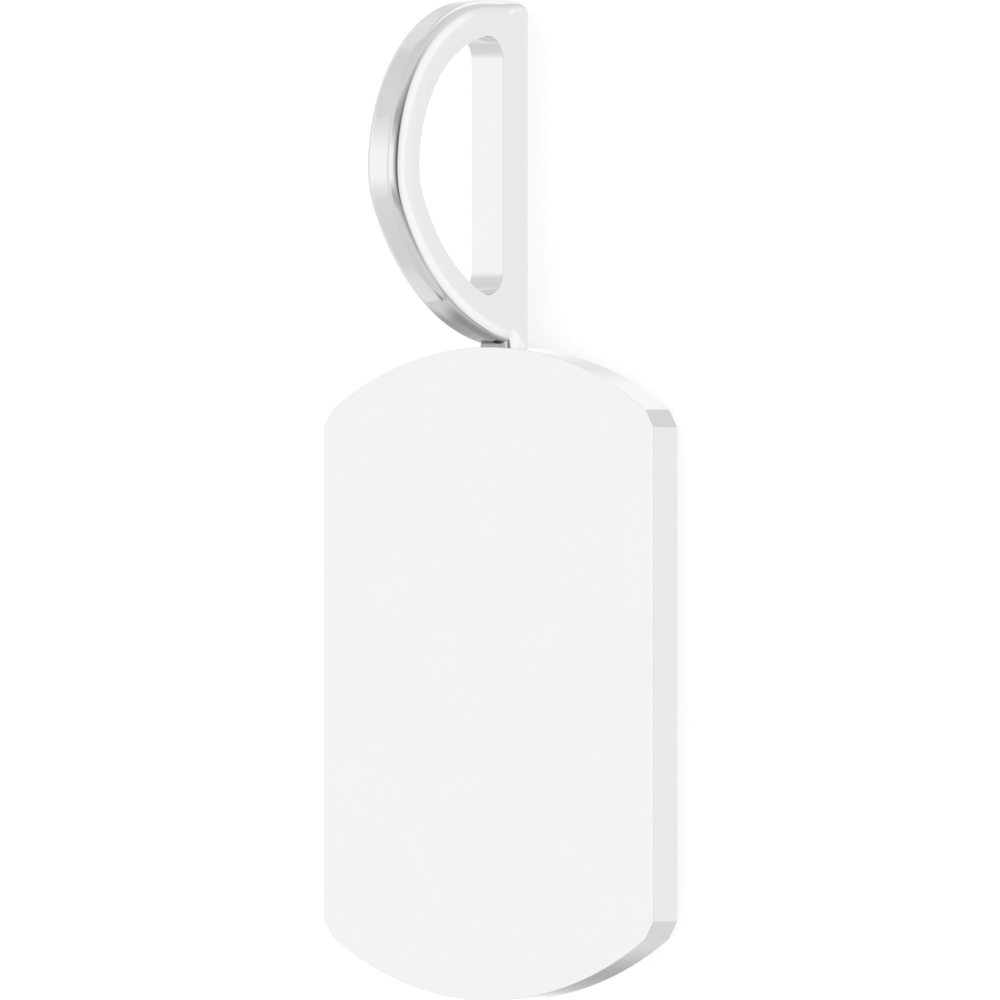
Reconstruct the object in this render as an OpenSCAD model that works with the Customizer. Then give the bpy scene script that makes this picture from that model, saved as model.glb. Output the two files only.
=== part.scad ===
// Dog tag pendant: a plain arched plate with a fixed D-shaped bail on its top edge, cast as one piece.
// It lies on its flat back. X runs across the plate, Y runs along it to the bail, and Z points out of
// the front face. The origin is the centre of the plate's back face, and all sizes are in millimetres.

/* [Plate] */
// Length of the plate along its long axis
plate_h = 26; // [20:0.5:40]
// Width of the plate
plate_w = 16.1; // [12:0.1:22]
// Thickness of the plate
plate_t = 1.65; // [1.2:0.05:2.5]
// Radius of the arched top and bottom edges
end_r = 13; // [11:0.5:25]
// Width of the straight cut at each corner
corner_w = 0.4; // [0.2:0.05:1.5]
// Length of the straight cut along the plate's side
corner_h = 0.7; // [0.3:0.05:2]

/* [Bail] */
// Width of the bail, across the plate
bail_w = 1.54; // [1.2:0.02:3]
// Thickness of the straight leg at the back
leg_t = 1.7; // [1.3:0.05:2.4]
// Thickness of the bow's outer layer, which carries the rounded face
band_t = 1.35; // [1:0.01:2]
// Radius of the upper quarter of the bow, at its outer face
bow_r = 6.73; // [6:0.01:8]
// Height of the bow's centre in front of the back face
bow_z = 2.43; // [1.9:0.01:3]
// Radius of the bow's nose, just below its foremost point
nose_r = 3.67; // [3:0.01:5]
// Angle that the nose turns through
nose_a = 28.7; // [20:0.1:35]
// Radius of the long sweep from the nose down to the neck
sweep_r = 10.29; // [9.8:0.01:11]
// Radius over the back corner at the top of the leg
heel_r = 0.6; // [0.3:0.05:1]

/* [Face of the band] */
// Width of the flat strip along the middle of the outer face
flat_w = 0.6; // [0.2:0.02:1]
// Radius of the two rounded shoulders beside the flat strip
shoulder_r = 0.44; // [0.2:0.01:0.6]
// How far each side leans in from the side face, at the level of the outer face
lean_w = 0.096; // [0.04:0.002:0.2]
// Depth of the leaning part of each side
lean_d = 0.71; // [0.4:0.01:0.9]

/* [Opening] */
// Thickness of the plain layer round the opening
lining_t = 0.65; // [0.4:0.05:0.7]
// Height of the centre of the opening's upper quarter in front of the back face
open_z = 2.18; // [1.9:0.02:2.6]
// Distance of that centre above the bow's centre
open_y = 0.06; // [0:0.01:0.2]
// Difference between the radii of the bow and the opening, in the upper quarter
bow_in = 1.48; // [1.3:0.01:1.7]
// Difference between the radii of the bow and the opening, at the nose
nose_in = 1.07; // [0.9:0.01:1.3]
// Difference between the radii of the bow and the opening, along the sweep
sweep_in = 2.49; // [2.3:0.01:2.7]
// Angle that the opening's nose turns through
open_a = 25.3; // [18:0.1:32]
// Radius in the two corners of the opening, where bow and leg meet
corner_r = 1; // [0.5:0.05:1.2]

/* [Neck] */
// Depth of the neck, from the back face to its rounded front
neck_t = 1.42; // [1:0.01:1.6]
// Height of the neck between the plate's top and the bow's outer face
neck_h = 0.12; // [0.04:0.01:0.5]
// Depth that the neck reaches down into the plate
root_h = 1; // [0.3:0.1:3]

/* [Hidden] */
$fn = 128;

// Corner points of the plate: half width of each arch, its rise above that width, and the height there
arch_x = plate_w / 2 - corner_w;
arch_rise = end_r - sqrt(end_r * end_r - arch_x * arch_x);
arch_y = plate_h / 2 - arch_rise;

// Centres of the bow's three arcs in its side plane, as [height Z, distance along Y from the bow's centre]
nose_dir = [cos(nose_a), -sin(nose_a)];
nose_c = [bow_z + bow_r - nose_r, 0];
sweep_c = nose_c + (nose_r - sweep_r) * nose_dir;

// Distance along Y, at height z, of the arc of radius r round the centre c, on its lower side
function lower_arc(c, r, z) = c[1] - sqrt(r * r - (z - c[0]) * (z - c[0]));

// The bow's centre lies where its sweep clears the plate's top by the height of the neck
bow_y = plate_h / 2 + neck_h - lower_arc(sweep_c, sweep_r, neck_t);

// Centres of the opening's three arcs in the same plane
open_c = [open_z, open_y];
tip_c = open_c + [bow_r - bow_in - (nose_r - nose_in), 0];
under_c = tip_c + (nose_r - nose_in - (sweep_r - sweep_in)) * [cos(open_a), -sin(open_a)];

// Depth at which the bow's layer is sure to have its full width
full_d = (lean_d + band_t) / 2;

// Angle that the sweep turns through before it ends inside the neck, and the foot of the leg inside the sweep
sweep_a = acos(((neck_t - lean_d) / 2 - sweep_c[0]) / (sweep_r - lean_d)) - nose_a;
leg_foot = lower_arc(sweep_c, sweep_r - full_d, leg_t);

// Angle that the lining turns through along the sweep before it ends inside the leg
under_a = acos((0.75 * leg_t - under_c[0]) / (sweep_r - sweep_in)) - open_a;

// The round cuts reach this far past the faces beside them, so each meets its face along a clear line
sink = 0.004;

// Moves to the point p in two steps, whole hundredths and the rest, which keeps long fractions exact
module at(p) {
    whole = [for (v = p) round(100 * v) / 100];
    translate(whole)
        translate(p - whole)
            children();
}

// Side plane of the bail: the plane of a 2D shape becomes Z and Y, and its height becomes X
module side_plane() {
    translate([0, bow_y, 0])
        rotate([0, -90, 0])
            children();
}

// What one rounded shoulder takes away from the section, on the side of positive Y
module shoulder_waste(face_x) {
    difference() {
        translate([face_x - shoulder_r, flat_w / 2])
            square([2 * shoulder_r, bail_w]);
        translate([face_x - shoulder_r, flat_w / 2])
            circle(r = shoulder_r + sink);
    }
}

// Cross-section of the band: its flat strip lies at x = face_x, and the band is t thick behind it
module band_section(face_x, t) {
    difference() {
        polygon([
            [face_x - t, -bail_w / 2],
            [face_x - lean_d, -bail_w / 2],
            [face_x, lean_w - bail_w / 2],
            [face_x, bail_w / 2 - lean_w],
            [face_x - lean_d, bail_w / 2],
            [face_x - t, bail_w / 2]
        ]);
        shoulder_waste(face_x);
        mirror([0, 1])
            shoulder_waste(face_x);
    }
}

// One arc of the bow round the centre c, of radius r at its face, that starts at angle a and turns by turn
module bow_arc(c, r, a, turn) {
    side_plane()
        at([c[0], c[1], 0])
            rotate_extrude(start = a, angle = turn)
                band_section(r, band_t);
}

// One arc of the lining round the centre c, of radius r on the opening's side
module lining_arc(c, r, a, turn) {
    side_plane()
        at([c[0], c[1], 0])
            rotate_extrude(start = a, angle = turn)
                translate([r, -bail_w / 2])
                    square([lining_t, bail_w]);
}

// What the rounded heel takes away at the top of the leg's back
module heel_waste() {
    side_plane()
        linear_extrude(height = 2 * bail_w, center = true)
            difference() {
                translate([-heel_r, bow_r - heel_r])
                    square(2 * heel_r);
                translate([heel_r, bow_r - heel_r])
                    circle(r = heel_r + sink);
            }
}

// Straight top of the bail, from the upper quarter back to the rounded heel
module bow_top() {
    difference() {
        translate([0, bow_y, 0])
            rotate([0, 0, 90])
                linear_extrude(height = bow_z)
                    band_section(bow_r, band_t);
        heel_waste();
    }
}

// Straight leg at the back, from inside the sweep up to the straight top
module leg() {
    translate([-bail_w / 2, bow_y + leg_foot, 0])
        cube([bail_w, bow_r - full_d - leg_foot, leg_t]);
}

// Filling of one corner of the opening, rounded between the leg and an arc of radius r round c;
// side is 1 at the top corner and -1 at the bottom corner
module opening_corner(c, r, side) {
    reach = r - corner_r + sink;
    round_z = leg_t + corner_r - sink;
    round_y = c[1] + side * sqrt(reach * reach - (round_z - c[0]) * (round_z - c[0]));
    round_c = [round_z, round_y];
    to_arc = (round_c - c) / reach;
    fill = corner_r + 0.7 * lining_t;
    side_plane()
        linear_extrude(height = bail_w, center = true)
            difference() {
                polygon([
                    [leg_t / 2, round_y],
                    round_c,
                    round_c + fill * to_arc,
                    [leg_t / 2, round_y + side * fill]
                ]);
                translate(round_c)
                    circle(r = corner_r);
            }
}

// Neck with the same rounded front that carries the bail on the plate
module neck() {
    foot = plate_h / 2 - root_h;
    translate([0, foot, 0])
        rotate([0, -90, -90])
            linear_extrude(height = bow_y + leg_foot - foot + lean_d / 4)
                band_section(neck_t, neck_t);
}

module bail() {
    bow_arc([bow_z, 0], bow_r, 0, 90);
    bow_arc(nose_c, nose_r, 0, -nose_a);
    bow_arc(sweep_c, sweep_r, -nose_a, -sweep_a);
    bow_top();
    leg();
    lining_arc(open_c, bow_r - bow_in, 0, 90);
    lining_arc(tip_c, nose_r - nose_in, 0, -open_a);
    lining_arc(under_c, sweep_r - sweep_in, -open_a, -under_a);
    opening_corner(open_c, bow_r - bow_in, 1);
    opening_corner(under_c, sweep_r - sweep_in, -1);
    neck();
}

// What the arch takes away beyond the top end of the plate
module arch_waste() {
    difference() {
        translate([-plate_w, arch_y - corner_h / 2])
            square([2 * plate_w, 2 * arch_rise]);
        translate([0, plate_h / 2 - end_r])
            circle(r = end_r);
    }
}

// Outline of the plate before its arches: the corner cuts run on past the ends of the arcs
module blank() {
    run = 1 + arch_rise / corner_h;
    far = [arch_x - run * corner_w, arch_y + run * corner_h];
    near = [plate_w / 2, arch_y - corner_h];
    polygon([
        far,
        near,
        [near[0], -near[1]],
        [far[0], -far[1]],
        -far,
        -near,
        [-near[0], near[1]],
        [-far[0], far[1]]
    ]);
}

module plate() {
    linear_extrude(height = plate_t)
        difference() {
            blank();
            arch_waste();
            mirror([0, 1])
                arch_waste();
        }
}

module dog_tag() {
    color([0.88, 0.88, 0.89])
        union() {
            plate();
            bail();
        }
}

dog_tag();
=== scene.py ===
# %% [markdown]
# # A polished dog tag pendant
#
# The part is a small cast pendant: a plain plate with arched ends, and a D-shaped bail for a chain.
# The imported CAD model is the fixed frame. Here its one solid gets a finer surface, because polished
# silver shows every facet of a coarse mesh in its reflections.
#
# First the frame is loaded. Nothing made here may be larger than that box.

# %% Load the frame
import math

import bmesh
import bpy
import numpy as np
from mathutils import Matrix, Vector


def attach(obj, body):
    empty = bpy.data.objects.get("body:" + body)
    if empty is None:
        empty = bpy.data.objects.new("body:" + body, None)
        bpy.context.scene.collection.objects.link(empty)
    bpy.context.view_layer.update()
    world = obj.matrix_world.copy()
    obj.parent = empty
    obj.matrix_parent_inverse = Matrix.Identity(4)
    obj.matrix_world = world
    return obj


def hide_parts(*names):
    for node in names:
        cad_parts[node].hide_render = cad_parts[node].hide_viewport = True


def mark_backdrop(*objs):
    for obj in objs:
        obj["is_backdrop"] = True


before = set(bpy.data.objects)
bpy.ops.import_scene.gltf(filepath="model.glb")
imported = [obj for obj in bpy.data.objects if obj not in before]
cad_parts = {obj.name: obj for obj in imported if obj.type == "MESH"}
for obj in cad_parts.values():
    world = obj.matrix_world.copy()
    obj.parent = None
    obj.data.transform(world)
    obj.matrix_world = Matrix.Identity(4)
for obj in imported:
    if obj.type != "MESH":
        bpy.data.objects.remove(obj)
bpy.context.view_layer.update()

# %% [markdown]
# ## The sizes
#
# All shapes below are worked out in millimetres and made metres at the end, because the finest
# roundings are a hundredth of a millimetre. The pendant lies on its flat back: X runs across
# the plate, Y along it to the bail, and Z out of its front. The CAD solid has sharp edges, and a real
# polished edge is never sharp, so each edge here gets a small radius that only takes metal away.

# %% Sizes in millimetres
PLATE_H, PLATE_W, PLATE_T = 26.0, 16.1, 1.65
END_R, CORNER_W, CORNER_H = 13.0, 0.4, 0.7
BAIL_W, LEG_T, HEEL_R = 1.54, 1.7, 0.6
BOW_R, BOW_Z, NOSE_R, SWEEP_R = 6.73, 2.43, 3.67, 10.29
NOSE_A = math.radians(28.7)
OPEN_R, OPEN_Z, OPEN_Y, TIP_R, UNDER_R = 5.25, 2.18, 0.06, 2.6, 7.8
OPEN_A = math.radians(25.3)
CORNER_R = 1.0
FLAT_W, SHOULDER_R, LEAN_D = 0.6, 0.44, 0.71
NECK_T, NECK_H = 1.42, 0.12

EDGE_R = 0.012
CORNER_EDGE_R = 0.1
BAIL_EDGE_R = 0.012
SUPPORT = 0.01
SHOULDER_A = math.radians(70)
LEAN_END = 0.023
FOOT_CLEAR = 0.25
HEEL_SHARE, TOP_FADE = 0.58, 0.9
FOOT_START, FOOT_FADE = 0.1, 1.1
TUCK, NECK_DOWN, NECK_UP = 0.004, 0.7, 0.8
WELD = 1e-5
print("plate", PLATE_W, "x", PLATE_H, "x", PLATE_T, "mm, bail band", BAIL_W, "mm wide")

# %% [markdown]
# ## A mesh from a grid of points
#
# Every surface here is a grid: rings of points, one ring after another. Joining each point to its
# neighbours gives four-sided faces. A helper does that once for all shapes. The rings can close into
# a loop, as the bail's do, or end at a single middle point on each side, as the plate's do.

# %% Grid to mesh
def grid_faces(rings, points, wrap):
    """Corner numbers of the quads: point j of ring k joins point j + 1 and the same two of ring k + 1."""
    k = np.arange(rings if wrap else rings - 1)[:, None]
    j = np.arange(points)[None, :]
    k2, j2 = (k + 1) % rings, (j + 1) % points
    corners = [k * points + j, k * points + j2, k2 * points + j2, k2 * points + j]
    return np.stack(np.broadcast_arrays(*corners), axis=-1).reshape(-1, 4)


def enclosed_volume(points, triangles):
    """A sixth of the sum of a . (b x c) over the triangles: it is positive where the faces point outwards."""
    a, b, c = (points[triangles[:, i]] for i in range(3))
    return float(np.einsum("ij,ij->i", a, np.cross(b, c)).sum() / 6)


def make_shell(name, rings, wrap):
    """A closed mesh from rings of shape (rings, points, 3).

    An open row of rings gets a fan of triangles at each end."""
    count, around = rings.shape[:2]
    points = rings.reshape(-1, 3)
    quads = grid_faces(count, around, wrap)
    fans = np.zeros((0, 3), int)
    if not wrap:
        middles = np.stack([rings[0].mean(axis=0), rings[-1].mean(axis=0)])
        points = np.vstack([points, middles])
        j = np.arange(around)
        last = (count - 1) * around
        first_fan = np.stack([(j + 1) % around, j, np.full(around, count * around)], axis=1)
        last_fan = np.stack([last + j, last + (j + 1) % around, np.full(around, count * around + 1)], axis=1)
        fans = np.vstack([first_fan, last_fan])
    triangles = np.vstack([quads[:, [0, 1, 2]], quads[:, [0, 2, 3]], fans])
    if enclosed_volume(points, triangles) < 0:
        quads, fans = quads[:, ::-1], fans[:, ::-1]
    mesh = bpy.data.meshes.new(name)
    mesh.from_pydata(points.tolist(), [], quads.tolist() + fans.tolist())
    shell = bpy.data.objects.new(name, mesh)
    bpy.context.scene.collection.objects.link(shell)
    volume = abs(enclosed_volume(points, triangles))
    print(name, "has", len(mesh.polygons), "faces, volume", round(volume, 2), "mm3")
    return shell


print("a ring of 4 points, 2 times:", len(grid_faces(2, 4, wrap=False)), "faces")

# %% [markdown]
# ## The plate's outline
#
# The outline is the same in all four quarters: a straight side, a short straight cut at the corner,
# and an arch. Tiny arcs round the two bends beside the cut. It could be drawn as a curve and beveled,
# but working out the arcs exactly also gives each point's outward direction, and the edge rounding
# needs that.

# %% Outline of the plate
def facing(angle):
    """Unit vectors at an angle from the first axis of a plane."""
    angle = np.asarray(angle, float)
    return np.stack([np.cos(angle), np.sin(angle)], axis=-1)


def spread(start, end, count, rim=0.0):
    """Evenly spaced numbers from start to end, with one extra close to each end when rim is given."""
    steps = np.linspace(start, end, count)
    if rim:
        sign = np.sign(end - start)
        steps = np.sort(np.concatenate([steps, [start + sign * rim, end - sign * rim]]) * sign) * sign
    return steps


def quarter_outline():
    """Points and outward directions from the middle of the right side to the top of the arch.

    The cut's line is n . p = h. A rounding of radius r has its centre r inside each line that it
    touches, and END_R - r from the centre of the arch."""
    half_w, r = PLATE_W / 2, CORNER_EDGE_R
    arch_x = half_w - CORNER_W
    arch_c = np.array([0, PLATE_H / 2 - END_R])
    arch_y = arch_c[1] + math.sqrt(END_R**2 - arch_x**2)
    turn = math.atan2(CORNER_W, CORNER_H)
    n = facing(turn)
    along = np.array([-n[1], n[0]])
    h = n @ np.array([half_w, arch_y - CORNER_H])
    low_c = np.array([half_w - r, (h - r - n[0] * (half_w - r)) / n[1]])
    inner_h = h - r - n @ arch_c
    high_c = arch_c + inner_h * n + math.sqrt((END_R - r) ** 2 - inner_h**2) * along
    reach = high_c - arch_c
    arch_start = math.atan2(reach[1], reach[0])
    side_y = spread(0, low_c[1], 24, SUPPORT)[:-1]
    side = np.stack([np.full_like(side_y, half_w), side_y], axis=1)
    low = np.linspace(0, turn, 7)[:-1]
    cut_s = spread(0, float((high_c - low_c) @ along), 5, SUPPORT)[:-1]
    cut = low_c + r * n + cut_s[:, None] * along
    high = np.linspace(turn, arch_start, 7)[:-1]
    arch = np.linspace(arch_start, math.pi / 2, 60)
    bends = [low_c + r * facing(low), cut, high_c + r * facing(high)]
    side_out, cut_out = np.tile([1.0, 0.0], (len(side), 1)), np.tile(n, (len(cut), 1))
    points = np.vstack([side, *bends, arch_c + END_R * facing(arch)])
    outward = np.vstack([side_out, facing(low), cut_out, facing(high), facing(arch)])
    return points, outward


def plate_outline():
    """The quarter and its mirror images, in one closed loop that runs counter-clockwise."""
    p, n = quarter_outline()
    flip_x, flip_y = np.array([-1, 1]), np.array([1, -1])
    top_p, top_n = np.vstack([p, (p * flip_x)[-2::-1]]), np.vstack([n, (n * flip_x)[-2::-1]])
    return np.vstack([top_p, (top_p * flip_y)[-2:0:-1]]), np.vstack([top_n, (top_n * flip_y)[-2:0:-1]])


outline, outline_out = plate_outline()
print("outline has", len(outline), "points, size", np.round(np.ptp(outline, axis=0), 3).tolist())

# %% [markdown]
# ## The plate
#
# The plate is the outline carried through a list of steps: across the back towards the edge, round
# the lower edge, up the side, round the upper edge, and across the front. A narrow extra step beside
# each rounding keeps the flat faces truly flat in the reflections.

# %% Plate
def edge_steps():
    """How far inside the outline each ring lies, and its height: a quarter circle of EDGE_R at both edges."""
    a = np.linspace(0, math.pi / 2, 7)
    rise, fall = EDGE_R * (1 - np.cos(a)), EDGE_R * (1 - np.sin(a))
    beside = EDGE_R + SUPPORT
    inset = np.concatenate([[beside], fall, [0, 0], rise, [beside]])
    height = np.concatenate([[0], rise, [beside, PLATE_T - beside], PLATE_T - fall, [PLATE_T]])
    return inset, height


def plate_rings():
    """Edge rings are the outline moved inwards; the rings on the flat faces are shrunk towards the middle."""
    inset, height = edge_steps()
    edge = outline[None] - inset[:, None, None] * outline_out[None]
    shrink = np.array([0.35, 0.7, 0.95])[:, None, None]
    flat = edge[0] * shrink
    plan = np.concatenate([flat, edge, flat[::-1]])
    levels = np.concatenate([np.zeros(3), height, np.full(3, PLATE_T)])
    return np.concatenate([plan, np.broadcast_to(levels[:, None, None], plan.shape[:2] + (1,))], axis=2)


plate = make_shell("plate_shell", plate_rings(), wrap=False)

# %% [markdown]
# ## The bail's path
#
# Seen from the side the bail is a D: a straight leg at the back, a straight top, and a bow of three
# arcs. The opening has three arcs of its own, with other centres, so the band is thickest at the nose.
# The drawing plane has Z to the right, counted from the back, and Y up, counted from the bow's centre.
# At each station along the D there is a point on the outer face, a partner on the inner face of the
# opening, and a direction into the metal at both. Along the bow a ray from the opening's face finds
# the outer point. Round the opening's two rounded corners the partner is found by looking from the
# corner's centre.

# %% Arcs of the bow
bow_c = np.array([BOW_Z, 0.0])
nose_c = np.array([BOW_Z + BOW_R - NOSE_R, 0.0])
sweep_c = nose_c + (NOSE_R - SWEEP_R) * facing(-NOSE_A)


def lower_arc(z, c, r):
    """Lower side of a circle of radius r round c, at depth z."""
    return c[1] - math.sqrt(r * r - (z - c[0]) ** 2)


open_c = np.array([OPEN_Z, OPEN_Y])
tip_c = open_c + np.array([OPEN_R - TIP_R, 0.0])
under_c = tip_c + (TIP_R - UNDER_R) * facing(-OPEN_A)


def ray_out(start, way):
    """Where rays from start along way leave the bow, and the outward direction there.

    A ray meets the circle of radius r round c at t = -o . w + sqrt((o . w)^2 - o . o + r^2), where
    o = start - c."""
    hits = []
    for centre, radius in ((bow_c, BOW_R), (nose_c, NOSE_R), (sweep_c, SWEEP_R)):
        off = start - centre
        along = (off * way).sum(axis=1, keepdims=True)
        t = np.sqrt(np.maximum(along**2 - (off**2).sum(axis=1, keepdims=True) + radius**2, 0)) - along
        hits.append((start + t * way, (off + t * way) / radius))
    on_bow = (hits[0][0][:, 1] > 0)[:, None]
    on_nose = (hits[1][1][:, 0] > math.cos(NOSE_A))[:, None]
    return [np.where(on_bow, bow, np.where(on_nose, nose, sweep)) for bow, nose, sweep in zip(*hits)]


bow_y = PLATE_H / 2 + NECK_H - lower_arc(NECK_T, sweep_c, SWEEP_R)
corner_z = LEG_T + CORNER_R
top_corner = np.array([corner_z, OPEN_Y + math.sqrt((OPEN_R - CORNER_R) ** 2 - (corner_z - OPEN_Z) ** 2)])
low_corner = np.array([corner_z, lower_arc(corner_z, under_c, UNDER_R - CORNER_R)])
top_a = math.atan2(*(top_corner - open_c)[::-1])
low_a = math.atan2(*(low_corner - under_c)[::-1])
corner_out = ray_out(np.stack([top_corner, low_corner]), facing([top_a, low_a]))[1]
top_touch, low_touch = np.arctan2(corner_out[:, 1], corner_out[:, 0])
back_touch = -math.acos(-sweep_c[0] / SWEEP_R)
opening_length = float(top_corner[1] - low_corner[1]) + 2 * CORNER_R
print("bow centre at Y", round(bow_y, 3), "mm; opening", round(opening_length, 2), "mm long")

# %% Stations along the D
def station(outer, normal, inner, into, rounded):
    """One stretch of stations, with five columns or pairs of columns.

    They are the outer points, the outward directions there, the inner points, the directions from them
    into the metal, and the share of the rounded face."""
    n = len(outer)
    normal, into = np.broadcast_to(normal, (n, 2)), np.broadcast_to(into, (n, 2))
    return np.hstack([outer, normal, inner, into, np.broadcast_to(rounded, (n,))[:, None]])


def by_corner(outer, normal, centre, rounded):
    """Stations whose partner lies on the opening's rounded corner, towards the outer point."""
    way = outer - centre
    way = way / np.linalg.norm(way, axis=1, keepdims=True)
    return station(outer, normal, centre + CORNER_R * way, way, rounded)


def by_arc(centre, radius, start, end, count):
    """Stations along one arc of the opening, with the outer point straight out along the ray."""
    way = facing(np.linspace(start, end, count))
    inner = centre + radius * way
    outer, normal = ray_out(inner, way)
    return station(outer, normal, inner, way, 1.0)


def smooth(x):
    """The S-shaped curve 3 x^2 - 2 x^3, held between 0 and 1."""
    x = np.clip(x, 0, 1)
    return x * x * (3 - 2 * x)


def bail_stations():
    """The whole D, from the foot of the leg up the back, over the top, round the bow and down to the foot.

    The rounded face fades in round the heel and along the top, and fades out inside the neck."""
    back = lambda y: np.stack([np.zeros_like(y), y], axis=1)
    foot_y = lower_arc(0, sweep_c, SWEEP_R)
    leg_y = spread(low_corner[1], top_corner[1], 40, SUPPORT)
    heel_a = np.linspace(math.pi, math.pi / 2, 25)
    heel = [HEEL_R, BOW_R - HEEL_R] + HEEL_R * facing(heel_a)
    heel_share = HEEL_SHARE * smooth((math.pi - heel_a) * 2 / math.pi)
    top_z = spread(HEEL_R, BOW_Z, 14, SUPPORT)
    top_share = HEEL_SHARE + (1 - HEEL_SHARE) * smooth((top_z - HEEL_R) / TOP_FADE)
    top = np.stack([top_z, np.full_like(top_z, BOW_R)], axis=1)
    over_a = np.linspace(math.pi / 2, top_touch, 6)
    buried_a = -math.acos((FOOT_CLEAR - sweep_c[0]) / SWEEP_R)
    under_a = np.append(np.linspace(low_touch, buried_a, 40), back_touch)
    under = sweep_c + SWEEP_R * facing(under_a)
    under_share = smooth((under[:, 0] - FOOT_START) / FOOT_FADE)
    return np.vstack([
        by_corner(back(spread(foot_y + FOOT_CLEAR, low_corner[1], 22, SUPPORT)), [-1, 0], low_corner, 0)[:-1],
        station(back(leg_y), [-1, 0], np.stack([np.full_like(leg_y, LEG_T), leg_y], axis=1), [-1, 0], 0)[:-1],
        by_corner(back(spread(top_corner[1], BOW_R - HEEL_R, 14, SUPPORT)), [-1, 0], top_corner, 0)[:-1],
        by_corner(heel, facing(heel_a), top_corner, heel_share)[:-1],
        by_corner(top, [0, 1], top_corner, top_share)[:-1],
        by_corner(bow_c + BOW_R * facing(over_a), facing(over_a), top_corner, 1)[:-1],
        by_arc(open_c, OPEN_R, top_a, 0, 110)[:-1],
        by_arc(tip_c, TIP_R, 0, -OPEN_A, 40)[:-1],
        by_arc(under_c, UNDER_R, -OPEN_A, low_a, 80)[:-1],
        by_corner(under, facing(under_a), low_corner, under_share),
    ])


stations = bail_stations()
print("the bail has", len(stations), "stations")

# %% [markdown]
# ## The bail's cross-section
#
# The band's outer face is softly rounded: a flat strip along its middle, a round shoulder on each side,
# and below a fine edge the side leans out in a gentle curve until it meets the flat side face. On the
# back of the leg there is only a small rounding. Each half section is listed from the middle of the
# outer face to the side, as a distance from the middle and a depth below the face. The shoulders fade
# in round the heel, so the two lists have the same number of points and can be mixed.

# %% Section of the band
def rounded_half(half_w):
    """Flat strip, shoulder and leaning side.

    The shoulder is a circle of SHOULDER_R from the end of the strip to the slope SHOULDER_A. The lean is a
    parabola whose slope falls to LEAN_END at the side face."""
    strip = np.array([0.0, 0.3, 0.6, 0.9]) * FLAT_W / 2
    a = np.linspace(0, SHOULDER_A, 18)
    x0, d0 = FLAT_W / 2 + SHOULDER_R * math.sin(SHOULDER_A), SHOULDER_R * (1 - math.cos(SHOULDER_A))
    u = np.linspace(0, 1, 9)[1:]
    last = LEAN_END * (LEAN_D - d0)
    lean = half_w - last * (1 - u) - (half_w - x0 - last) * (1 - u) ** 2
    x = np.concatenate([strip, FLAT_W / 2 + SHOULDER_R * np.sin(a), lean])
    depth = np.concatenate([np.zeros(4), SHOULDER_R * (1 - np.cos(a)), d0 + (LEAN_D - d0) * u])
    return x, depth


def plain_half(half_w):
    """A flat face with a quarter circle of BAIL_EDGE_R at its edge, as many points as in the rounded half."""
    a = np.linspace(0, math.pi / 2, 10)[1:]
    flat = np.append(np.linspace(0, half_w - BAIL_EDGE_R - SUPPORT, 12), half_w - BAIL_EDGE_R)
    x = np.concatenate([flat, half_w - BAIL_EDGE_R * (1 - np.sin(a)), np.full(8, half_w)])
    down = BAIL_EDGE_R + SUPPORT * np.arange(1, 9)
    depth = np.concatenate([np.zeros(13), BAIL_EDGE_R * (1 - np.cos(a)), down])
    return x, depth


def inner_half(half_w):
    """The opening's face, from the side to the middle: distance from the middle, and depth into the metal."""
    a = np.linspace(0, math.pi / 2, 6)
    flat = np.linspace(half_w - BAIL_EDGE_R - SUPPORT, 0, 7)
    x = np.concatenate([[half_w], half_w - BAIL_EDGE_R * (1 - np.cos(a)), flat])
    depth = np.concatenate([[BAIL_EDGE_R + SUPPORT], BAIL_EDGE_R * (1 - np.sin(a)), np.zeros(7)])
    return x, depth


print("half section points:", [len(half(BAIL_W / 2)[0]) for half in (rounded_half, plain_half, inner_half)])

# %% [markdown]
# ## The bail
#
# The section is carried along the stations. Outer points move inwards from the outer face by their
# depth, and inner points move into the metal from the opening's face by theirs. Only at the foot,
# where the bow's arc meets the back in a corner, does the inward direction have to be the longer
# diagonal of that corner, so that both faces keep their depth.

# %% Bail loop
def bail_rings():
    """Rings round the band: point = outer + depth * inward, or inner + depth * into, and x from the section.

    Round the heel the shoulders keep their width and only lose height, down to HEEL_SHARE of it."""
    outer, normal, inner, into, rounded = np.split(stations, [2, 4, 6, 8], axis=1)
    inward = -normal
    bend = normal[-1] + np.array([-1.0, 0.0])
    inward[-1] = -bend / (1 + normal[-1] @ np.array([-1.0, 0.0]))
    rx, rd = rounded_half(BAIL_W / 2)
    px, pd = plain_half(BAIL_W / 2)
    ix, idepth = inner_half(BAIL_W / 2)
    wide = np.minimum(rounded / HEEL_SHARE, 1)
    x_out = wide * rx + (1 - wide) * px
    d_out = rounded * rd + (1 - rounded) * pd
    plane_out = outer[:, None] + d_out[..., None] * inward[:, None]
    plane_in = inner[:, None] + idepth[None, :, None] * into[:, None]
    plane = np.concatenate([plane_out, plane_in], axis=1)
    x = np.concatenate([x_out, np.broadcast_to(ix, (len(outer), len(ix)))], axis=1)
    half = np.stack([x, plane[..., 1] + bow_y, plane[..., 0]], axis=-1)
    return np.concatenate([half, (half * [-1, 1, 1])[:, -2:0:-1]], axis=1)


bail = make_shell("bail_shell", bail_rings(), wrap=True)

# %% [markdown]
# ## The neck
#
# A short neck with the same rounded front carries the bail on the plate's top edge. It is a straight
# run of the section, whose two ends are buried in the plate and in the bail. Its sides and its back lie
# a few thousandths inside the bail's, so that no two faces lie exactly in one plane.

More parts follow.
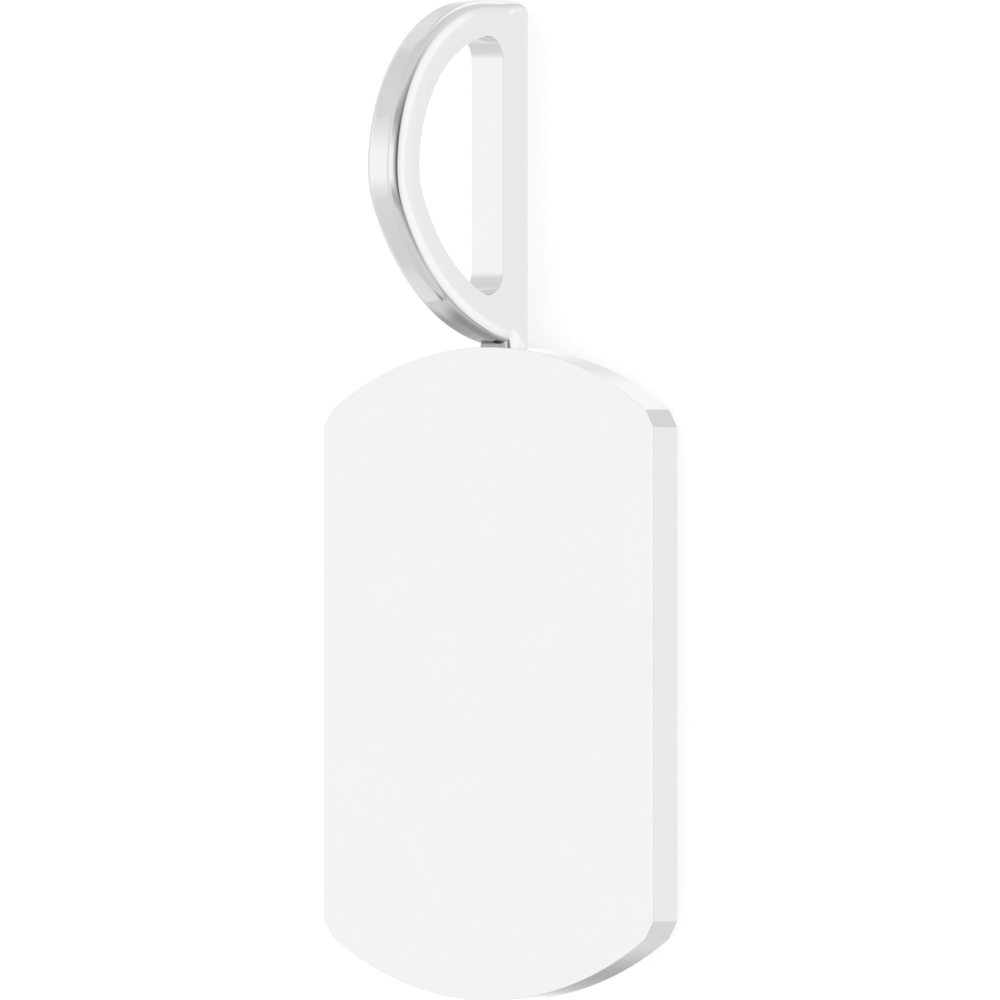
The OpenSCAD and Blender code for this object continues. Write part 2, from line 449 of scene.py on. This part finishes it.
# %% Neck
def neck_rings():
    """The rounded section facing forwards, from inside the plate to inside the bail."""
    x, depth = rounded_half(BAIL_W / 2 - TUCK)
    x, z = np.append(x, [x[-1], 0]), NECK_T - np.append(depth, [NECK_T - EDGE_R, NECK_T - EDGE_R])
    half = np.stack([x, z], axis=1)
    loop = np.vstack([half, (half * [-1, 1])[-2:0:-1]])
    y = PLATE_H / 2 + np.array([-NECK_DOWN, NECK_H + NECK_UP])
    rings = np.empty((len(y), len(loop), 3))
    rings[..., 0], rings[..., 1], rings[..., 2] = loop[None, :, 0], y[:, None], loop[None, :, 1]
    return rings


neck = make_shell("neck_shell", neck_rings(), wrap=False)

# %% [markdown]
# ## One casting
#
# The real pendant is one piece of metal, so the three shells become one closed skin. Joining them
# without cutting would look the same, but hidden walls would stay inside. The exact Boolean solver
# removes them, and the result is measured: every edge must have just two faces.

# %% Join the shells
def joined(name, first, others):
    """A new object with the union of the shells, and the shells removed."""
    for other in others:
        union = first.modifiers.new("union", "BOOLEAN")
        union.operation, union.solver, union.object = "UNION", "EXACT", other
    graph = bpy.context.evaluated_depsgraph_get()
    mesh = bpy.data.meshes.new_from_object(first.evaluated_get(graph))
    for shell in [first, *others]:
        bpy.data.objects.remove(shell)
    mesh.name = name
    result = bpy.data.objects.new(name, mesh)
    bpy.context.scene.collection.objects.link(result)
    return result


pendant = joined("dog_tag_body", plate, [bail, neck])
work = bmesh.new()
work.from_mesh(pendant.data)
bmesh.ops.remove_doubles(work, verts=work.verts, dist=WELD)
bmesh.ops.dissolve_degenerate(work, dist=WELD, edges=work.edges)
open_edges = sum(not edge.is_manifold for edge in work.edges)
print("joined:", len(work.verts), "points,", len(work.faces), "faces,", open_edges, "open edges")
print("volume", round(work.calc_volume(), 2), "mm3")
work.to_mesh(pendant.data)
work.free()
pendant.data.transform(Matrix.Scale(0.001, 4))
pendant.data.polygons.foreach_set("use_smooth", np.ones(len(pendant.data.polygons), bool))
pendant.data.set_sharp_from_angle(angle=math.radians(32))
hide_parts("dog_tag")
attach(pendant, "root")

# %% [markdown]
# ## Shader maths as Python
#
# Blender's material nodes can be written as plain expressions. A small class wraps one socket: adding
# or multiplying it adds a Math node behind the scenes. Any other node comes from one method.

# %% A socket that can be calculated with
class Socket:
    """One output of a node. + - and * on it add Math nodes, and math() adds one by its name."""

    def __init__(self, tree, output):
        self.tree, self.output = tree, output

    def math(self, operation, *others):
        return self.tree.node("ShaderNodeMath", {"operation": operation}, [self, *others])

    def __add__(self, other):
        return self.math("ADD", other)

    def __mul__(self, other):
        return self.math("MULTIPLY", other)

    def __sub__(self, other):
        return self.math("SUBTRACT", other)

    def __rsub__(self, other):
        return (self * -1) + other

    __radd__, __rmul__ = __add__, __mul__


class Nodes:
    """A node tree that is filled by calls."""

    def __init__(self, owner):
        owner.use_nodes = True
        self.nodes, self.links = owner.node_tree.nodes, owner.node_tree.links
        self.nodes.clear()

    def node(self, kind, settings=None, inputs=(), output=0):
        """Adds a node: settings are set first, then inputs by place or by name, as values or as links."""
        made = self.nodes.new(kind)
        for name, value in (settings or {}).items():
            if name == "stops":
                ramp = made.color_ramp
                while len(ramp.elements) < len(value):
                    ramp.elements.new(1.0)
                for element, (place, level) in zip(ramp.elements, value):
                    element.position, element.color = place, (level, level, level, 1)
            else:
                setattr(made, name, value)
        for key, value in (inputs.items() if isinstance(inputs, dict) else enumerate(inputs)):
            if isinstance(value, Socket):
                self.links.new(value.output, made.inputs[key])
            else:
                made.inputs[key].default_value = value
        return Socket(self, made.outputs[output] if made.outputs else None)

    def between(self, value, low, high, at_low=0.0, at_high=1.0):
        """A smooth step: at_low below low, at_high above high."""
        inputs = [value, low, high, at_low, at_high]
        return self.node("ShaderNodeMapRange", {"interpolation_type": "SMOOTHSTEP"}, inputs)


print("shader helpers ready")

# %% [markdown]
# ## Polished silver
#
# Fine silver jewellery is polished to a mirror, but never a perfect one: buffing leaves very fine
# parallel lines, wear leaves a few hairline scratches, the edges that touch skin and cloth lose a
# little gloss first, and the corners that a cloth cannot reach stay a shade darker. Where the bow
# hangs close over the plate, and on the neck's front, the silver is painted much darker: painted shade
# for the dark that falls in the gap between bow and plate. The lines and scratches are far finer than a
# millimetre, so their textures read Object coordinates, in metres, with large scales. Edges, hollows
# and the place of the painted shade are worked out from the mesh, and stored as one number at each point.

# %% How much each point of the surface sticks out
FULL_BEND = 12


def points_and_normals(mesh):
    """The points in millimetres and the normals there, one row each."""
    both = []
    for name in ("co", "normal"):
        values = np.empty(len(mesh.vertices) * 3)
        mesh.vertices.foreach_get(name, values)
        both.append(values.reshape(-1, 3))
    return both[0] * 1000, both[1]


def edge_measure(mesh):
    """Bend of the surface at each point: the mean over its edges of 2 n . (p - q) / |p - q|^2, in 1/mm.

    It is large and positive on a rounded edge, negative in a hollow, and zero on a flat face."""
    points, normals = points_and_normals(mesh)
    ends = np.empty(len(mesh.edges) * 2, int)
    mesh.edges.foreach_get("vertices", ends)
    a, b = ends.reshape(-1, 2).T
    way = points[a] - points[b]
    length = np.maximum((way**2).sum(axis=1), 1e-6)
    total, count = np.zeros(len(points)), np.zeros(len(points))
    for here, sign in ((a, 1), (b, -1)):
        np.add.at(total, here, sign * 2 * np.einsum("ij,ij->i", normals[here], way) / length)
        np.add.at(count, here, 1)
    return total / np.maximum(count, 1)


def store(name, values):
    """Keeps one number per point on the pendant's mesh, for the material to read."""
    pendant.data.attributes.new(name, "FLOAT", "POINT").data.foreach_set("value", values)


bend = edge_measure(pendant.data)
store("wear", np.clip(bend / FULL_BEND, 0, 1))
store("hollow", np.clip(-bend / FULL_BEND, 0, 1))
on_edges, in_hollows = (bend > FULL_BEND / 2).sum(), (bend < -FULL_BEND / 2).sum()
print("points on edges:", int(on_edges), "points in hollows:", int(in_hollows))

# %% Painted shade under the bow
REACH, REACH_RISE, REACH_FADE = 1.55, 0.5, 0.7
FACING_DOWN, FACING_FADE = 0.4, 0.3


# Mask of painted shade: 1 where the silver is darkened because shade falls there, under the bow close over
# the plate and on the neck's front.
def painted_shade_under_bow(mesh):
    """1 where the bow faces down to the plate, close above it, and on the neck's front; 0 elsewhere.

    The reach above the plate's top grows with the distance from the middle, REACH + REACH_RISE |x|, as
    the shoulders hang higher."""
    points, normals = points_and_normals(mesh)
    x, y, z = points.T
    above = y - PLATE_H / 2
    starts = smooth((above + 0.02) / 0.05)
    ends = smooth((REACH + REACH_RISE * np.abs(x) - above) / REACH_FADE)
    down = smooth((-normals[:, 1] - FACING_DOWN) / FACING_FADE) * (z > 1)
    at_neck = (np.abs(x) < BAIL_W / 2) * (z < NECK_T + SUPPORT) * (above > -0.1) * (above < 1)
    return np.maximum(ends * starts * down, at_neck * (normals[:, 2] > 0.5))


# The mask of painted shade, kept on the mesh for the material to darken the tone there.
painted_shade_mask = painted_shade_under_bow(pendant.data)
store("shelter", painted_shade_mask)
print("points in the shelter of the bow:", int((painted_shade_mask > 0.5).sum()))

# %% Polished silver material
SILVER = (0.93, 0.93, 0.93, 1)
SCRATCH_TURNS_AND_SCALES = ((0.5, 2600.0), (1.4, 3100.0), (-0.7, 2300.0))
MIX_COLOUR_A, MIX_COLOUR_B, MIX_COLOUR_OUT = 6, 7, 2


def polished_silver():
    """Metal whose tone, roughness and fine bumps vary.

    Buffing lines and hairline scratches make the bumps; wear and hollows make it rougher and a little darker,
    and under the bow it is rougher still and painted much darker, as painted shade."""
    material = bpy.data.materials.new("polished_silver")
    tree = Nodes(material)
    place = tree.node("ShaderNodeTexCoord", output="Object")
    worn = tree.node("ShaderNodeAttribute", {"attribute_name": "wear"}, output="Fac")
    deep = tree.node("ShaderNodeAttribute", {"attribute_name": "hollow"}, output="Fac")
    # The mask of painted shade under the bow: it darkens the tone and adds a little roughness.
    painted_shade_and_dulling = tree.node("ShaderNodeAttribute", {"attribute_name": "shelter"}, output="Fac")

    def stretched(scale, turn):
        inputs = {"Vector": place, "Rotation": turn, "Scale": scale}
        return tree.node("ShaderNodeMapping", {"vector_type": "TEXTURE"}, inputs)

    def noise(vector, scale, detail):
        return tree.node("ShaderNodeTexNoise", inputs={"Vector": vector, "Scale": scale, "Detail": detail})

    cloudy = noise(place, 420.0, 3.0)
    buffing = noise(stretched((1, 30, 30), (0, 0, 0.12)), 60000.0, 2.0)
    scratches = 0
    for turn, scale in SCRATCH_TURNS_AND_SCALES:
        line = noise(stretched((1, 40, 1), (0, 0, turn)), scale, 0.0)
        scratches = tree.between(line, 0.745, 0.77) + scratches
    fine = cloudy * 0.035 + buffing * 0.02 + scratches * 0.05
    roughness = fine + worn * 0.06 + deep * 0.08 + painted_shade_and_dulling * 0.06 + 0.022
    height = buffing * 0.12 + scratches * -1.0
    normal = tree.node("ShaderNodeBump", inputs={"Strength": 0.12, "Distance": 2e-6, "Height": height})
    # The term from the mask under the bow is painted shade, up to 0.52 darker there; hollows and edges darken
    # a little as tarnish and wear.
    tone = cloudy * -0.012 + deep * -0.05 + worn * -0.006 + painted_shade_and_dulling * -0.52 + 1.0
    colour = tree.node("ShaderNodeMix", {"data_type": "RGBA", "blend_type": "MULTIPLY"},
                       {"Factor": 1.0, MIX_COLOUR_A: SILVER, MIX_COLOUR_B: tone}, output=MIX_COLOUR_OUT)
    shader = tree.node("ShaderNodeBsdfPrincipled", inputs={
        "Base Color": colour, "Metallic": 1.0, "Roughness": roughness, "Normal": normal})
    tree.node("ShaderNodeOutputMaterial", inputs={"Surface": shader})
    return material


pendant.data.materials.clear()
pendant.data.materials.append(polished_silver())
print("material nodes:", len(pendant.data.materials[0].node_tree.nodes))

# %% [markdown]
# ## The table and the light
#
# A mirror shows its surroundings, so most of the look of polished silver is made here. The room itself
# gives most of the light: a bright strip runs over the table from side to side, with a narrow dimmer
# slit in it, and the room beyond the strip is a little darker. Two faint soft boxes hang on both sides
# of the slit. The side beyond the pendant's right edge falls off to dark, as a black card beside a
# jewellery table does, and that draws the dark line along the bail's near shoulder.

# %% Floor
FLOOR_GLOW, FLOOR_GAP = 0.45, 2e-5


def make_floor(size=2.0):
    """A plain pale square that lies a hair under the pendant."""
    mesh = bpy.data.meshes.new("floor")
    corner = np.array([[-1, -1], [1, -1], [1, 1], [-1, 1]]) * size / 2
    mesh.from_pydata(np.hstack([corner, np.full((4, 1), -FLOOR_GAP)]).tolist(), [], [[0, 1, 2, 3]])
    floor = bpy.data.objects.new("floor", mesh)
    bpy.context.scene.collection.objects.link(floor)
    material = bpy.data.materials.new("floor_white")
    tree = Nodes(material)
    shader = tree.node("ShaderNodeBsdfPrincipled", inputs={
        "Base Color": (0.9, 0.9, 0.9, 1), "Roughness": 0.9, "Specular IOR Level": 0.0,
        "Emission Color": (1, 1, 1, 1), "Emission Strength": FLOOR_GLOW})
    tree.node("ShaderNodeOutputMaterial", inputs={"Surface": shader})
    mesh.materials.append(material)
    floor.visible_glossy = False
    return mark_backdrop(floor)


make_floor()
print("floor", round(FLOOR_GAP * 1000, 3), "mm under the pendant")

# %% Soft boxes
BOX_RADIANCE = 0.05


def soft_box(name, middle, distance, width, length, radiance):
    """A rectangular light that faces the pendant from the direction middle degrees round the Y axis."""
    light = bpy.data.lights.new(name, "AREA")
    light.shape, light.size, light.size_y = "RECTANGLE", width, length
    light.energy = radiance * math.pi * width * length
    lamp = bpy.data.objects.new(name, light)
    angle = math.radians(middle)
    lamp.matrix_world = Matrix.Rotation(angle, 4, "Y") @ Matrix.Translation((0, 0, distance))
    bpy.context.scene.collection.objects.link(lamp)
    return lamp


def box_between(name, start, end, half_height=29.0):
    """A soft box at 1 m, seen between the angles start and end, in degrees from straight up towards +X."""
    middle, half = (start + end) / 2, math.radians(end - start) / 2
    width, length = 2 * math.tan(half), 2 * math.tan(math.radians(half_height))
    return soft_box(name, middle, 1.0, width, length, BOX_RADIANCE)


for lamp in (box_between("soft_box_main", -75.0, -5.0), box_between("soft_box_side", 5.0, 43.0)):
    print(lamp.name, round(lamp.data.size, 2), "x", round(lamp.data.size_y, 2), "m")

# %% Room
def make_room():
    """A pale dome whose brightness depends on the direction.

    turn is the angle round the Y axis, in degrees from straight up towards +X, and lean is how far the
    direction leans along Y, to either side. A small lean is on the bright strip, and a large one outside
    it. Each step is two angles of turn, and the change of brightness between them."""
    world = bpy.data.worlds.new("room")
    tree = Nodes(world)
    way = tree.node("ShaderNodeTexCoord", output="Generated")
    x, y, z = (tree.node("ShaderNodeSeparateXYZ", inputs=[way], output=i) for i in range(3))
    turn = x.math("ARCTAN2", z) * (180 / math.pi)
    lean = y.math("ABSOLUTE")
    step = lambda low, high, change: tree.between(turn, low, high, 0.0, change)
    # On the strip: the dark card, the slit, the wall behind the card, and the slow changes overhead
    card = tree.between(turn + y * 16, 48.0, 97.0, 0.0, -0.69) + step(103.0, 118.0, 0.74)
    slit = step(-5.0, -2.0, -0.37) + step(2.0, 5.0, 0.37)
    behind = step(118.0, 130.0, 0.15) + step(140.5, 144.0, -0.125) + step(165.0, 179.0, 0.135)
    overhead = step(-145.0, -110.0, -0.21) + step(-80.0, -72.0, 0.11) + step(44.0, 60.0, -0.11)
    strip = card + slit + behind + overhead + 1.02
    # Outside the strip: a shaded side, a brighter sky beyond the top, and the far walls
    shade = (step(18.0, 30.0, -0.32) + step(100.0, 120.0, 0.32)) * tree.between(lean, 0.42, 0.8, 1.0, 0.0)
    sky = (step(-158.0, -145.0, -0.28) + step(165.0, 179.0, 0.28) + 0.28) * tree.between(y, 0.3, 0.5)
    far = tree.between(lean, 0.6, 1.0, 0.72, 0.65) + step(-145.0, -120.0, 0.1) + step(-100.0, -80.0, -0.1)
    outside = far + shade + sky
    # Two dark places beyond the lower end: low on the left, and a nook behind the card
    low = (step(-165.0, -152.0, -0.33) + step(-141.0, -128.0, 0.33)) * tree.between(y, -0.3, -0.1, 1.0, 0.0)
    nook = (step(108.0, 124.0, -0.42) + step(150.0, 157.0, 0.42)) * tree.between(y, -0.56, -0.42, 1.0, 0.0)
    share = tree.between(lean, 0.12, 0.5)
    strength = strip + (outside - strip) * share + low + nook
    glow = tree.node("ShaderNodeBackground", inputs={"Color": (1, 1, 1, 1), "Strength": strength})
    tree.node("ShaderNodeOutputWorld", inputs={"Surface": glow})
    bpy.context.scene.world = world
    print("room nodes:", len(world.node_tree.nodes))


make_room()
bpy.context.scene.view_settings.view_transform = "Standard"

# %% [markdown]
# ## The camera
#
# The product picture is a parallel view, level with the upright pendant and 35.3 degrees to its right.
# The pendant lies down here, so the camera looks down at the same angle to it, turned so that +Y is
# up. A very long lens from far away gives a view that is nearly parallel. It isn't longer still, because
# a view from another side also has to reach the pendant within the camera's clipping distance.

# %% Camera
SENSOR = 36.0


def make_camera(azimuth=35.3, across=0.039817, aim=(0.0, 0.006916, 0.000825), lens=1400.0):
    """A far camera with +Y up; across is the width in metres that the picture shows at the aim."""
    data = bpy.data.cameras.new("camera")
    data.lens, data.sensor_width = lens, SENSOR
    data.clip_start, data.clip_end = 0.1, 100.0
    distance = lens / SENSOR * across
    a = math.radians(azimuth)
    right, back = Vector((math.cos(a), 0, -math.sin(a))), Vector((math.sin(a), 0, math.cos(a)))
    camera = bpy.data.objects.new("camera", data)
    turn = Matrix((right, Vector((0, 1, 0)), back)).transposed().to_4x4()
    camera.matrix_world = Matrix.Translation(Vector(aim) + back * distance) @ turn
    bpy.context.scene.collection.objects.link(camera)
    bpy.context.scene.camera = camera
    print("camera", round(distance, 2), "m away")


make_camera()
